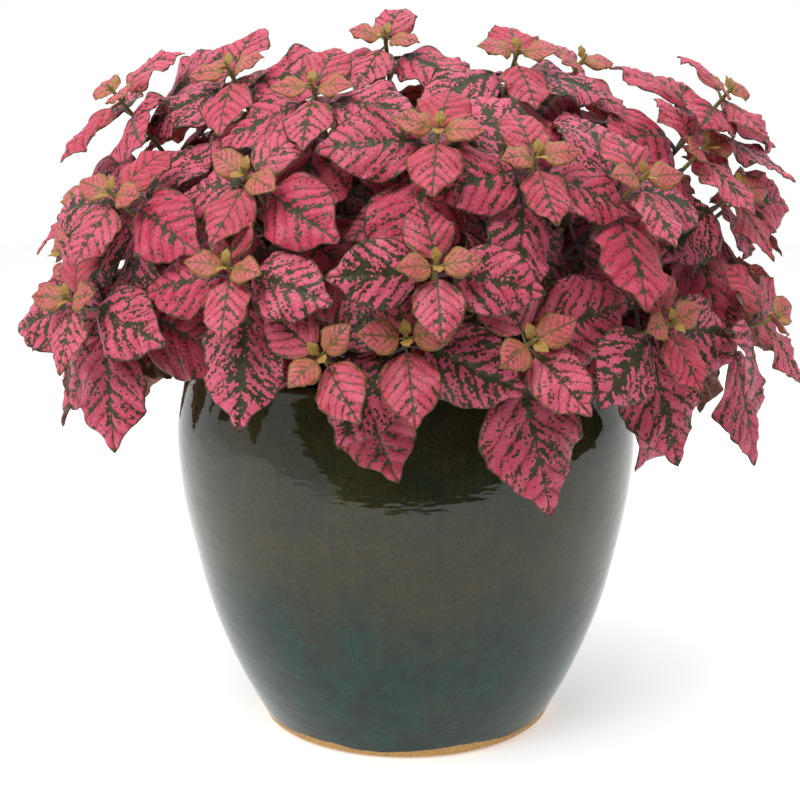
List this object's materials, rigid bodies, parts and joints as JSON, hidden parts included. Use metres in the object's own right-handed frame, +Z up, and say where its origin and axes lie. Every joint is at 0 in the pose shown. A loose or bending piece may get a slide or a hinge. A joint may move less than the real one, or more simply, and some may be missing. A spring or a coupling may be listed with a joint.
{
  "type": "potted polka dot plant",
  "caption": "Bushy foliage plant with pink and dark green spotted leaves in a round glazed pot that narrows to its foot.",
  "frame": {"origin": "middle of the pot's flat base, on the surface that it stands on", "axes": "+Z up, -Y the plant's front as the picture shows it, +X to the viewer's right"},
  "size_m": [0.462, 0.442, 0.4278],
  "materials": {
    "glaze": "high gloss olive brown to teal green glaze over buff clay",
    "soil": "dark crumbly potting soil",
    "foliage": "soft satin leaf, pink with dark green blotches"
  },
  "bodies": {
    "root": {"pot": "glaze", "soil": "soil", "leafy_stem_01": "foliage", "leafy_stem_02": "foliage", "leafy_stem_03": "foliage", "leafy_stem_04": "foliage", "leafy_stem_05": "foliage", "leafy_stem_06": "foliage", "leafy_stem_07": "foliage", "leafy_stem_08": "foliage", "leafy_stem_09": "foliage", "leafy_stem_10": "foliage", "leafy_stem_11": "foliage", "leafy_stem_12": "foliage", "leafy_stem_13": "foliage", "leafy_stem_14": "foliage", "leafy_stem_15": "foliage", "leafy_stem_16": "foliage", "leafy_stem_17": "foliage", "leafy_stem_18": "foliage", "leafy_stem_19": "foliage", "leafy_stem_20": "foliage", "leafy_stem_21": "foliage", "leafy_stem_22": "foliage", "leafy_stem_23": "foliage", "leafy_stem_24": "foliage", "leafy_stem_25": "foliage", "leafy_stem_26": "foliage", "leafy_stem_27": "foliage", "leafy_stem_28": "foliage", "leafy_stem_29": "foliage", "leafy_stem_30": "foliage", "leafy_stem_31": "foliage", "leafy_stem_32": "foliage", "leafy_stem_33": "foliage", "leafy_stem_34": "foliage", "leafy_stem_35": "foliage", "leafy_stem_36": "foliage", "leafy_stem_37": "foliage", "leafy_stem_38": "foliage", "leafy_stem_39": "foliage", "leafy_stem_40": "foliage", "leafy_stem_41": "foliage", "leafy_stem_42": "foliage", "leafy_stem_43": "foliage", "leafy_stem_44": "foliage", "leafy_stem_45": "foliage"}
  },
  "joints": []
}
